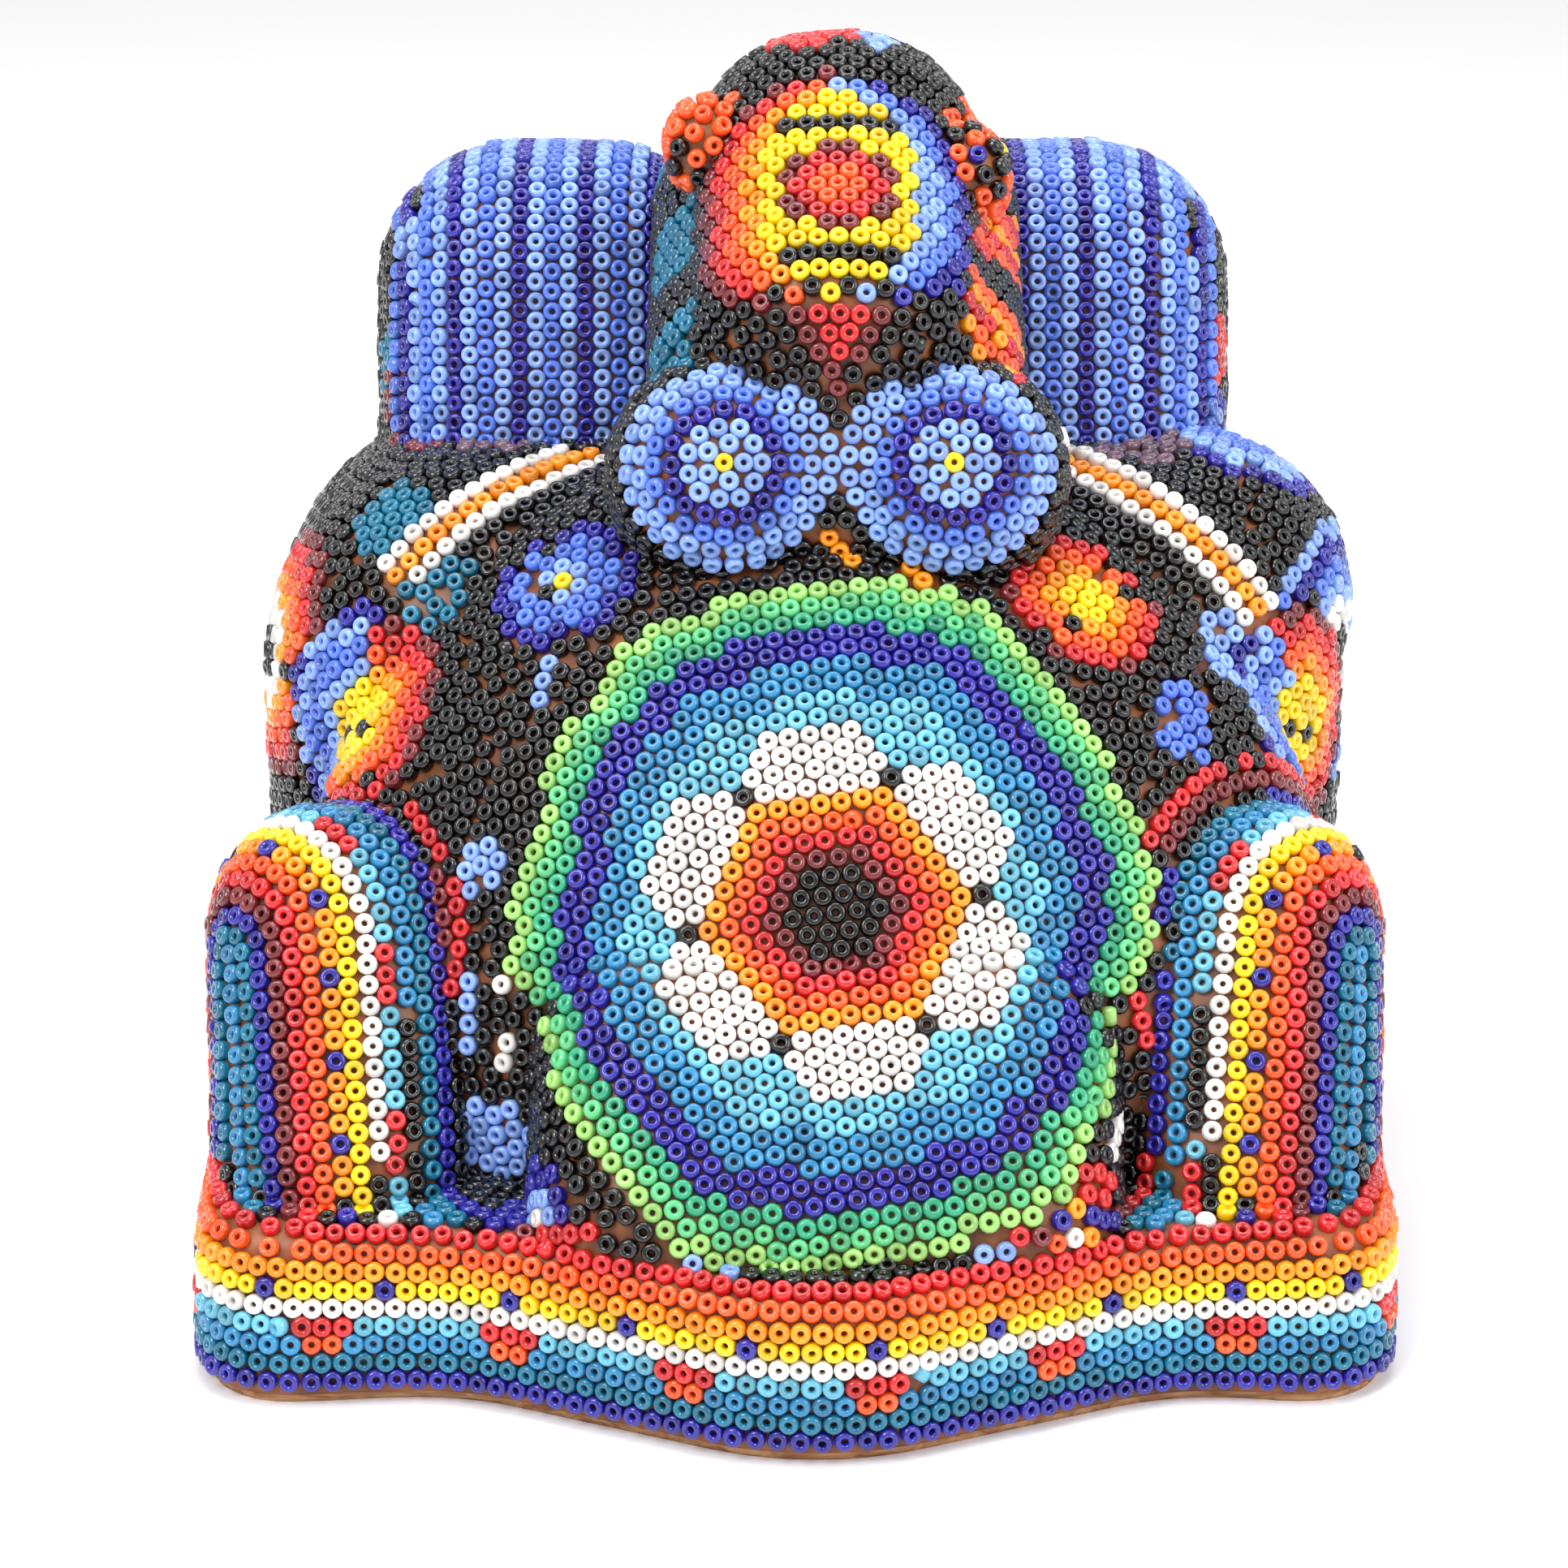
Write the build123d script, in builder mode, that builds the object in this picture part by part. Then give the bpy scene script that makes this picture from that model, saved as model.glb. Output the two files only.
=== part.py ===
"""Huichol (Wixarika) beaded figure: a squat crouching animal carved from one block of
light wood, coated with beeswax and covered all over with glass seed beads.

Millimetres.  +Z up, the figure faces -Y, +X is on the right of a person facing it.
The origin is on the ground plane, under the middle of the figure's bounding box.

The carving is a union of simple rounded masses.  carving(grow) builds the same union with
every mass grown by one amount, so the wood, the wax coat and the bead layer nest exactly.
The bead layer is then divided into its bead fields: the rings, rows, arches, rosettes and
suns in which the beads are laid.  A field's solid stands for its beads laid side by side.
"""
import os
from math import cos, radians, sin, sqrt

from build123d import *

os.makedirs("parts", exist_ok=True)

# ------------------------------------------------------------------ driving dimensions
BEAD_OD = 2.15        # size 11/0 seed bead, across
BEAD_LEN = 1.4        # along the hole, which stands on the surface
WAX = 0.7             # beeswax and resin coat
BARE_RIM = 1.6        # uncovered wood at the foot of the base
ROW = BEAD_OD * sqrt(3) / 2       # distance between rows of beads that nest

BASE_HALF_X = 59.4    # wood, at the ground
BASE_FOOT_Y = 53.5    # how far the corner feet reach forward
BASE_NOTCH_Y = 51.0   # between a foot and the belly
BASE_BELLY_Y = 66.5   # vertex of the rounded belly and rump, before it is rounded
BASE_HEIGHT = 15.5
BASE_LEAN = 5.0       # how far the top of the feet stands back

FACE_LEAN = 27.0      # the chest leans back by this angle
MANDALA = Vector(4.0, -37.5, 47.0)    # centre of the big rosette, on the beads
CHEST_R, CHEST_DEEP, CHEST_RIM = 53.8, 31.0, 16.0
BELLY_LEAN = 38.0     # below the mandala's centre the chest runs out to the edge of the base
BELLY_HALF = (28.0, 20.0, 12.0)
BELLY_AT = (3.0, -38.6, 22.8)

BODY_HALF = (58.5, 31.0, 39.0)
BODY_AT = (1.0, 27.0, 39.0)
SHOULDER_R, SHOULDER_AT = 16.8, (43.9, 22.0, 62.0)    # the right shoulder stands higher

LEG_LEAN, LEG_ROLL = 32.0, 5.0
LEG_HALF = (12.4, 24.0, 17.0)
LEG_AT = (47.4, -20.0, 23.5)

LOBE_HALF = (18.5, 25.0, 16.0)
LOBE_AT = (28.0, 40.24, 82.5)
LOBE_LEAN = 15.0

HEAD_X = 4.5          # the head stands a little to one side of the base
HEAD_SLOPE = 33.0     # the bridge of the nose rises towards the back
HEAD_TOP = Vector(HEAD_X, 9.0, 114.2)  # middle of the bridge, on the wood
BRIDGE_HALF = (14.0, 24.5, 13.2)
NECK_HALF = (18.0, 24.0, 17.0)

DOME_R, DOME_DX = 10.6, 11.9          # the two muzzle pads
DOME_AT = (-1.5, 82.6)
EAR_R, EAR_DX = 3.6, 13.5

# ------------------------------------------------------------------ places and planes


def leaning(origin, lean, roll=0.0):
    """A plane that faces -Y and leans back by an angle, its own +Y up the slope."""
    a = radians(lean)
    plane = Plane(origin=origin, x_dir=(1, 0, 0), z_dir=(0, -cos(a), sin(a)))
    return plane.rotated((0, 0, roll))


def sloping(origin, slope):
    """A plane that faces up and forward, its own +Y rising towards the back."""
    a = radians(slope)
    return Plane(origin=origin, x_dir=(1, 0, 0), z_dir=(0, -sin(a), cos(a)))


face = leaning(MANDALA, FACE_LEAN)
bridge = sloping(HEAD_TOP, HEAD_SLOPE)

# ------------------------------------------------------------------ the carved masses


def base_outline(grow, lean):
    """Wavy outline of the base: four corner feet, a belly in front, a rump behind."""
    half_x = BASE_HALF_X + grow
    foot, notch = BASE_FOOT_Y + grow - lean, BASE_NOTCH_Y + grow - lean / 2
    belly = BASE_BELLY_Y + grow - lean / 5
    corners = [(-half_x, -foot), (-34, -notch), (2, -belly), (38, -notch), (half_x, -foot),
               (half_x, foot), (34, notch), (0, belly), (-34, notch), (-half_x, foot)]
    with BuildSketch() as outline:
        with BuildLine():
            Polyline(*corners, close=True)
        make_face()
        for vertex in outline.vertices():
            at_side = abs(vertex.X) > half_x - 1
            fillet(outline.vertices().sort_by_distance(vertex)[0], 8 if at_side else 26)
    return outline.sketch


def base(grow):
    with BuildPart() as mass:
        with BuildSketch(Plane.XY):
            add(base_outline(grow, 0))
        with BuildSketch(Plane.XY.offset(BASE_HEIGHT + grow)):
            add(base_outline(grow, BASE_LEAN))
        loft()
    return mass.part


def block(plane, half, radius, grow):
    """A box with rounded edges."""
    with BuildPart() as mass:
        Box(*(2 * (h + grow) for h in half))
        fillet(mass.edges(), radius + grow)
    return plane * mass.part


def lens(plane, radius, deep, rim, grow):
    """A drum with a domed front and a round rim; the dome and the rim meet smoothly."""
    cap = ((radius - rim) ** 2 + deep ** 2 - rim ** 2) / (2 * (deep - rim))
    rim_centre, cap_centre = Vector(radius - rim, 0), Vector(0, deep - cap)
    outward = (rim_centre - cap_centre).normalized()
    top = Vector(0, deep + grow)
    meet = rim_centre + outward * (rim + grow)
    back = Vector(radius - rim, -rim - grow)
    with BuildPart() as mass:
        with BuildSketch(Plane.XZ):
            with BuildLine():
                RadiusArc(meet, top, -(cap + grow))
                ThreePointArc(meet, rim_centre + Vector(rim + grow, 0), back)
                Line(back, (0, back.Y))
                Line((0, back.Y), top)
            make_face()
        revolve(axis=Axis.Z)
    return plane * mass.part


def ball(centre, radius, grow):
    with BuildPart() as mass:
        with Locations(centre):
            Sphere(radius + grow)
    return mass.part


def ear_at(side):
    return (HEAD_X + side * EAR_DX, 18 - side, 112.4 - 1.5 * side)


def carving(grow):
    """The whole figure, every mass grown by one amount, cut flat at the ground."""
    chest_centre = MANDALA - face.z_dir * (CHEST_DEEP + WAX + BEAD_LEN) - Vector(1.8, 0, 0)
    masses = [
        base(grow),
        lens(leaning(chest_centre, FACE_LEAN), CHEST_R, CHEST_DEEP, CHEST_RIM, grow),
        block(leaning(BELLY_AT, BELLY_LEAN), BELLY_HALF, 11, grow),
        block(Plane(BODY_AT), BODY_HALF, 23, grow),
        ball(SHOULDER_AT, SHOULDER_R, grow),
    ]
    for side in (-1, 1):
        leg_at = (side * LEG_AT[0], LEG_AT[1], LEG_AT[2])
        lobe_at = (1 + side * LOBE_AT[0], LOBE_AT[1], LOBE_AT[2])
        dome_at = (HEAD_X + side * DOME_DX, *DOME_AT)
        masses += [
            block(leaning(leg_at, LEG_LEAN, -side * LEG_ROLL), LEG_HALF, 11, grow),
            block(leaning(lobe_at, LOBE_LEAN), LOBE_HALF, 14, grow),
            ball(dome_at, DOME_R, grow),
            ball(ear_at(side), EAR_R, grow),
        ]
    masses += [
        block(Plane((HEAD_X, 4, 83)), (15, 13, 12), 11, grow),
        block(bridge.offset(-BRIDGE_HALF[2]), BRIDGE_HALF, 12.8, grow),
        block(sloping((HEAD_X, 21, 93.5), HEAD_SLOPE), NECK_HALF, 12, grow),
    ]
    with BuildPart() as figure:
        for mass in masses:
            add(mass)
        split(bisect_by=Plane.XY, keep=Keep.TOP)
    return figure.part


wood = carving(0)
waxed = carving(WAX)
beaded = carving(WAX + BEAD_LEN)

# ------------------------------------------------------------------ wood and wax
with BuildPart() as wood_core:
    add(wood)
wood_core.part.label = "wood_core"
export_step(wood_core.part, "parts/wood_core.step")

with BuildPart() as wax_coat:
    add(waxed)
    add(wood, mode=Mode.SUBTRACT)
    split(bisect_by=Plane.XY.offset(BARE_RIM - 0.5), keep=Keep.TOP)
wax_coat.part.label = "wax_coat"
export_step(wax_coat.part, "parts/wax_coat.step")

with BuildPart() as bead_layer:
    add(beaded)
    add(waxed, mode=Mode.SUBTRACT)
    split(bisect_by=Plane.XY.offset(BARE_RIM), keep=Keep.TOP)

# ------------------------------------------------------------------ regions of the bead layer
# Each region is a plain solid that cuts its field out of the bead layer.  Regions are taken
# in order, and a later one gives way to the earlier ones.


def prism(plane, outline, behind=14, before=14):
    """An outline on a plane, pushed through the bead layer there."""
    with BuildPart() as region:
        with BuildSketch(Plane.XY.offset(-behind)):
            add(outline)
        extrude(amount=behind + before)
    return plane * region.part


def disc(plane, radius, at=(0, 0), behind=14, before=14):
    with BuildSketch() as outline:
        with Locations(at):
            Circle(radius)
    return prism(plane, outline.sketch, behind, before)


def hexagon(plane, across_flats):
    with BuildSketch() as outline:
        RegularPolygon(across_flats / 2, 6, major_radius=False, rotation=LATTICE_TURN)
    return prism(plane, outline.sketch)


def oval(plane, half_width, half_height, at=(0, 0)):
    with BuildSketch() as outline:
        with Locations(at):
            Ellipse(half_width, half_height)
    return prism(plane, outline.sketch, 9, 9)


def slab(low, high):
    """Everything between two heights."""
    with BuildPart() as region:
        with Locations((0, 0, low)):
            Box(200, 200, high - low, align=(Align.CENTER, Align.CENTER, Align.MIN))
    return region.part


def cuboid(low, high):
    with BuildPart() as region:
        with Locations(low):
            Box(*(h - l for l, h in zip(low, high)), align=(Align.MIN,) * 3)
    return region.part


fields = {}            # name of a field: the solids that bound it


# The mandala: hexagonal rings in one lattice of beads, then rounder ones.
LATTICE_TURN = 8       # the lattice is a little turned against the level
HEX_RINGS = (("black", 2.5), ("maroon", 3.5), ("red", 4.5), ("orange", 5.5), ("amber", 6.5))
PETAL_RING = 8.4       # rows of beads from the centre to the middle of a petal
CORNER_RING = 6.8      # beads from the centre to the single beads between the petals
ROUND_RINGS = (("sky", 23.5), ("teal", 27.2), ("navy", 30.6), ("sea_green", 32.0),
               ("leaf_green", 33.4), ("lime", 35.2))

with BuildPart() as petals:
    with BuildSketch(Plane.XY.offset(-14)):
        with PolarLocations(PETAL_RING * ROW, 6, start_angle=LATTICE_TURN + 30):
            SlotOverall(13.5, 4 * ROW, rotation=90)
    extrude(amount=28)
with BuildPart() as corner_beads:
    with BuildSketch(Plane.XY.offset(-14)):
        with PolarLocations(CORNER_RING * BEAD_OD, 6, start_angle=LATTICE_TURN):
            Circle(BEAD_OD / 2)
    extrude(amount=28)
fields["mandala_corner_beads"] = [face * corner_beads.part]
for colour, rows in HEX_RINGS:
    fields[f"mandala_{colour}"] = [hexagon(face, 2 * rows * ROW)]
fields["mandala_white_petals"] = [face * petals.part]
for colour, radius in ROUND_RINGS:
    fields[f"mandala_{colour}"] = [disc(face, radius)]

# The two muzzle rosettes: rings round a yellow centre bead.
rosettes = [leaning((HEAD_X + side * DOME_DX, DOME_AT[0], DOME_AT[1] + 1), 17) for side in (-1, 1)]
fields["rosette_centre_beads"] = [disc(p, BEAD_OD / 2, behind=0, before=20) for p in rosettes]
for name, radius in (("sky", 5.2), ("navy", 8.6), ("blue", 11.4)):
    fields[f"rosette_{name}"] = [disc(p, radius, behind=0, before=20) for p in rosettes]

# Nose, ears and bridge: a triangle, an oval with a small sun, crescents down both sides.
with BuildSketch() as nose:
    with BuildLine():
        Polyline((-6.5, -15.6), (6.5, -15.6), (0, -25), close=True)
    make_face()
fields["nose_triangle"] = [prism(bridge, nose.sketch, 12, 6)]
fields["ears_orange"] = [ball(ear_at(side), EAR_R + WAX + BEAD_LEN, 0.9) for side in (-1, 1)]
fields["bridge_sun"] = [disc(bridge, 5.4, (0, -2), 6, 6)]
fields["bridge_yellow"] = [oval(bridge, 8.2, 15, (0, -2))]
right_half = cuboid((HEAD_X + 0.4, -50, 60), (60, 60, 150))
fields["bridge_orange"] = [oval(bridge, 11.4, 19, (-3.6, -1)) - right_half]
fields["bridge_red"] = [oval(bridge, 13.6, 21, (-5, 0)) - right_half]
fields["bridge_sky"] = [oval(bridge, 11.4, 19, (3.6, -1))]
fields["bridge_navy"] = [oval(bridge, 13.6, 21, (5, 0))]

# Flowers and suns on the chest, the cheeks and the flanks.
flower = leaning((-24.5, -20, 77.5), 30)
sun = leaning((30.5, -18, 77), 30)
fields["flower_centre_bead"] = [disc(flower, BEAD_OD / 2)]
fields["flower_blue"] = [disc(flower, 5.4)]
fields["flower_navy"] = [disc(flower, 7.6)]
fields["sun_amber"] = [disc(sun, 5.0)]
fields["sun_red"] = [disc(sun, 8.2)]
fields["chest_side_suns"] = [
    disc(Plane(origin=(side * 46 + 2, -14, 60), z_dir=(side * 0.8, -0.6, 0)), 10,
         behind=12, before=12) for side in (-1, 1)]
for name, radius in (("white", 6.0), ("orange", 10.5), ("red", 14.0)):
    fields[f"flank_eyes_{name}"] = [
        disc(Plane(origin=(side * 60, 14, 58), z_dir=(side, 0, 0)), radius, behind=12, before=12)
        for side in (-1, 1)]

# The base: nine rows of beads, from the foot up.
BASE_ROWS = ("navy", "teal", "sea_blue", "cyan", "white", "yellow", "amber", "orange", "red")
for number, colour in enumerate(BASE_ROWS):
    low = BARE_RIM + number * ROW
    fields[f"base_row_{colour}"] = [slab(low, low + ROW)]

# The forelegs: nested arches that rise from the base and turn over to the outer side.
ARCHES = (("inner", 6.1), ("yellow", 8.0), ("white", 9.8), ("cyan", 11.7), ("teal", 15.4),
          ("navy", 17.3), ("maroon", 19.1), ("red", 21.5))
for name, radius in ARCHES:
    fields[f"foreleg_{name}"] = []
    for side in (-1, 1):
        leg_at = (side * LEG_AT[0], LEG_AT[1], LEG_AT[2])
        plane = leaning(leg_at, LEG_LEAN, -side * LEG_ROLL)
        with BuildSketch() as arch:
            with Locations((side * 10, 4)):
                Circle(radius)
            with Locations((side * 10, -16)):
                Rectangle(2 * radius, 40)
        fields[f"foreleg_{name}"].append(prism(plane, arch.sketch, 18, 30))

# The haunch lobes: upright columns of beads, every fourth one navy.
COLUMN = 4 * ROW
LOBE_FOOT = 80.4       # the lobes rise out of the back at this height
stripes, lobes = [], []
for side in (-1, 1):
    inner = HEAD_X + side * (NECK_HALF[0] + 3)
    outer = 1 + side * (LOBE_AT[0] + LOBE_HALF[0] - 4)
    low, high = min(outer, inner), max(outer, inner)
    lobes.append(cuboid((low, -5, LOBE_FOOT), (high, 75, 130)))
    for number in range(1, 1 + int((high - low) / COLUMN)):
        x = low + number * COLUMN - ROW / 2
        stripes.append(cuboid((x, -5, LOBE_FOOT), (x + ROW, 75, 130)))
fields["haunch_navy_columns"] = stripes
fields["haunch_blue_columns"] = lobes

# The collar: a white line in the valley behind the chest.
collar_plane = leaning((2.2, -10, 33), FACE_LEAN)
collar = disc(collar_plane, 62, behind=16, before=-3) - disc(collar_plane, 56.4, behind=16, before=0)
fields["collar_white"] = [collar & cuboid((-50, -60, 60), (52, 60, 120))]

# ------------------------------------------------------------------ the bead fields


def meets(region, solid):
    """Whether two bounding boxes overlap."""
    a, b = region.bounding_box(), solid.bounding_box()
    return all(getattr(a.min, k) < getattr(b.max, k) and getattr(b.min, k) < getattr(a.max, k)
               for k in "XYZ")


layer, taken = bead_layer.part, []
for name, regions in fields.items():
    patches = []
    for region in regions:
        patch = layer & region
        earlier = [other for other in taken if meets(other, patch)]
        patches.append(patch - earlier if earlier else patch)
    with BuildPart() as field:
        add(patches)
    taken += regions
    field.part.label = name
    export_step(field.part, f"parts/{name}.step")

with BuildPart() as black_ground:
    add(layer)
    for region in taken:
        add(region, mode=Mode.SUBTRACT)
black_ground.part.label = "black_ground"
export_step(black_ground.part, "parts/black_ground.step")
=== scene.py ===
"""Looks of the Huichol beaded figure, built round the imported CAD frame.

The carved body is a smoothed copy of the CAD wood, with the wax coat over it.  About ten
thousand glass beads are laid on the wax the way a beader lays them: first the drawn fields
(mandala, rosettes, base rows, leg arches, head lattice, haunch columns, suns), then every
gap is filled outward from those, bead against bead.

Geometry is worked out in millimetres and written to Blender in metres.
"""
import math
from collections import deque

import bmesh
import bpy
import numpy as np
from mathutils import Matrix, Vector
from mathutils.bvhtree import BVHTree
from mathutils.kdtree import KDTree


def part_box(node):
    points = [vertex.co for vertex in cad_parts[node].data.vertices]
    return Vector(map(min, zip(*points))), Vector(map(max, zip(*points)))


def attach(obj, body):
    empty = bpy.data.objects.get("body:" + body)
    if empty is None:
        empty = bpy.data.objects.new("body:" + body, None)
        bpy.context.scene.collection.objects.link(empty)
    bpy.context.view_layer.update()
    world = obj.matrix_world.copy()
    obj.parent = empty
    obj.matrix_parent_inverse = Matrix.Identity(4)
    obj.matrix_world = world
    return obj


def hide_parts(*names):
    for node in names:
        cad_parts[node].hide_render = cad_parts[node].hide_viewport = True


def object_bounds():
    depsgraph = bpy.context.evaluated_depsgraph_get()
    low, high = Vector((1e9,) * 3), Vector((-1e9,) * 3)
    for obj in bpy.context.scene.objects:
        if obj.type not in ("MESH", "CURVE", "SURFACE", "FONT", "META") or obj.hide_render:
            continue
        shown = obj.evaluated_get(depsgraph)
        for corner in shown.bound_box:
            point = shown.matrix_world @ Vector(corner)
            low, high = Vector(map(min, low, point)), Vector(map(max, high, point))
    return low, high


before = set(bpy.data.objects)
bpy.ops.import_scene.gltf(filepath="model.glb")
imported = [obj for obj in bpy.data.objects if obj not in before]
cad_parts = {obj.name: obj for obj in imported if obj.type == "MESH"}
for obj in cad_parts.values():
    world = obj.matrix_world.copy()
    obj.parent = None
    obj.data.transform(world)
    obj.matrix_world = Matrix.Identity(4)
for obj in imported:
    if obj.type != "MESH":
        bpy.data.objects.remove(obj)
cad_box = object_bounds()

MM = 0.001
rng = np.random.default_rng(11)

# ------------------------------------------------------------------ sizes, millimetres
PITCH = 2.15                    # beads stand this far apart in a close lattice
ROW = PITCH * math.sqrt(3) / 2  # distance between nesting rows
BEAD_R, HOLE_R, BEAD_LEN = 1.08, 0.27, 1.42
WAX = 0.7
SINK = 0.30                     # how deep a bead is pressed into the wax
WAX_FOOT = 1.1                  # the wood below this height is bare
FACE_LEAN, HEAD_SLOPE, LEG_LEAN, LEG_ROLL = 27.0, 33.0, 32.0, 5.0
ARM_RAY = 150.0                 # how far a ray looks for the surface


def box_mm(node):
    low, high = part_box(node)
    return low / MM, high / MM


cad_low, cad_high = (Vector(p) / MM for p in cad_box)


def middle(node):
    low, high = box_mm(node)
    return (low + high) / 2


# ------------------------------------------------------------------ colours


def linear(r, g, b):
    """A colour given in ordinary 0..255 values, as Blender's linear values."""
    return tuple(((c / 255 + 0.055) / 1.055) ** 2.4 if c > 10 else c / 3295 for c in (r, g, b))


COLOURS = {
    "black": linear(9, 9, 11),
    "maroon": linear(118, 34, 40),
    "red": linear(208, 34, 38),
    "orange": linear(250, 88, 26),
    "amber": linear(255, 150, 8),
    "yellow": linear(255, 212, 0),
    "white": linear(236, 233, 229),
    "mauve": linear(112, 84, 98),
    "sky": linear(132, 166, 234),
    "blue": linear(82, 118, 218),
    "navy": linear(36, 30, 146),
    "teal": linear(8, 108, 140),
    "sea_blue": linear(40, 128, 176),
    "cyan": linear(100, 180, 206),
    "lime": linear(156, 210, 112),
    "leaf": linear(88, 190, 124),
    "sea_green": linear(44, 160, 118),
}

# ------------------------------------------------------------------ the carved body


def joined_copies(mesh, *transforms):
    """One mesh made of several transformed copies of another."""
    bm = bmesh.new()
    for transform in transforms:
        copy = mesh.copy()
        copy.transform(transform)
        if transform.determinant() < 0:
            copy.flip_normals()
        bm.from_mesh(copy)
        bpy.data.meshes.remove(copy)
    result = bpy.data.meshes.new("joined")
    bm.to_mesh(result)
    bm.free()
    return result


def voxel_remesh(mesh, voxel):
    """The mesh rebuilt as one even skin."""
    obj = bpy.data.objects.new("remesh", mesh)
    bpy.context.scene.collection.objects.link(obj)
    modifier = obj.modifiers.new("remesh", "REMESH")
    modifier.mode, modifier.voxel_size = "VOXEL", voxel
    graph = bpy.context.evaluated_depsgraph_get()
    result = bpy.data.meshes.new_from_object(obj.evaluated_get(graph))
    bpy.data.objects.remove(obj)
    return result


def coordinates(mesh):
    flat = np.empty(len(mesh.vertices) * 3, np.float32)
    mesh.vertices.foreach_get("co", flat)
    return flat.reshape(-1, 3).astype(float)


def set_coordinates(mesh, points):
    mesh.vertices.foreach_set("co", points.astype(np.float32).ravel())
    mesh.update()


def smooth(mesh, rounds, strength=0.5):
    """Softens the creases between the carved masses."""
    points = coordinates(mesh)
    edges = np.empty(len(mesh.edges) * 2, np.int32)
    mesh.edges.foreach_get("vertices", edges)
    a, b = edges.reshape(-1, 2).T
    degree = np.bincount(a, minlength=len(points)) + np.bincount(b, minlength=len(points))
    for _ in range(rounds):
        total = np.zeros_like(points)
        for axis in range(3):
            total[:, axis] = (np.bincount(a, points[b, axis], len(points))
                              + np.bincount(b, points[a, axis], len(points)))
        points += strength * (total / degree[:, None] - points)
    set_coordinates(mesh, points)


def inflate(mesh, amount):
    normals = np.empty(len(mesh.vertices) * 3, np.float32)
    mesh.vertices.foreach_get("normal", normals)
    set_coordinates(mesh, coordinates(mesh) + amount * normals.reshape(-1, 3))


def cut_flat(mesh, height):
    """The mesh above a height, closed with a flat underside."""
    bm = bmesh.new()
    bm.from_mesh(mesh)
    everything = bm.verts[:] + bm.edges[:] + bm.faces[:]
    cut = bmesh.ops.bisect_plane(bm, geom=everything, plane_co=(0, 0, height),
                                 plane_no=(0, 0, 1), clear_inner=True)
    rim = [e for e in cut["geom_cut"] if isinstance(e, bmesh.types.BMEdge)]
    bmesh.ops.edgenet_fill(bm, edges=rim)
    bmesh.ops.recalc_face_normals(bm, faces=bm.faces[:])
    result = bpy.data.meshes.new("cut")
    bm.to_mesh(result)
    bm.free()
    return result


# A mirrored copy below the ground keeps the foot of the base upright while it is smoothed.
body = voxel_remesh(joined_copies(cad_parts["wood_core"].data, Matrix.Identity(4),
                                  Matrix.Scale(-1, 4, (0, 0, 1))), 0.9 * MM)
smooth(body, 8)
inflate(body, 0.75 * MM)
wood_mesh = cut_flat(body, 0.0)
inflate(body, WAX * MM)
wax_mesh = cut_flat(body, WAX_FOOT * MM)

skin_points = coordinates(body) / MM
skin = BVHTree.FromPolygons([Vector(p) for p in skin_points],
                            [tuple(p.vertices) for p in body.polygons])


def cast(origin, direction, reach=ARM_RAY):
    """Where a ray meets the wax: (point, outward normal), or None."""
    point, normal, _, _ = skin.ray_cast(Vector(origin), Vector(direction).normalized(), reach)
    return None if point is None else (np.array(point), np.array(normal))


def settle(point):
    """The nearest place on the wax: (point, outward normal)."""
    near, normal, _, _ = skin.find_nearest(Vector(point))
    return np.array(near), np.array(normal)


# ------------------------------------------------------------------ the beads laid so far


class Beadwork:
    """Every bead laid so far, with a grid for finding neighbours."""

    def __init__(self):
        self.points, self.normals, self.colours, self.fields = [], [], [], []
        self.cells = {}

    def cell(self, p):
        return tuple(int(math.floor(c / PITCH)) for c in p)

    def near(self, p, reach):
        """Indices of the beads within reach (up to one pitch) of a point."""
        x, y, z = self.cell(p)
        steps = range(-1, 2) if reach <= PITCH else range(-2, 3)
        found = []
        for i in steps:
            for j in steps:
                for k in steps:
                    for n in self.cells.get((x + i, y + j, z + k), ()):
                        d = self.points[n] - p
                        if d[0] * d[0] + d[1] * d[1] + d[2] * d[2] < reach * reach:
                            found.append(n)
        return found

    def lay(self, place, colour, field, gap=0.86):
        """Lays a bead unless it would press into another one."""
        if place is None or place[0][2] < FOOT_Z - 0.5 or self.near(place[0], gap * PITCH):
            return None
        n = len(self.points)
        self.points.append(place[0])
        self.normals.append(place[1])
        self.colours.append(colour)
        self.fields.append(field)
        self.cells.setdefault(self.cell(place[0]), []).append(n)
        return n


work = Beadwork()
FOOT_Z = box_mm("base_row_navy")[0].z + ROW / 2


# ------------------------------------------------------------------ charts on the body


def lean_frame(lean, roll=0.0):
    """Right, up and outward directions of a plane that faces -Y and leans back."""
    a, r = math.radians(lean), math.radians(roll)
    right, up = np.array((1, 0, 0.0)), np.array((0, math.sin(a), math.cos(a)))
    out = np.array((0, -math.cos(a), math.sin(a)))
    return (right * math.cos(r) + up * math.sin(r), up * math.cos(r) - right * math.sin(r), out)


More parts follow.
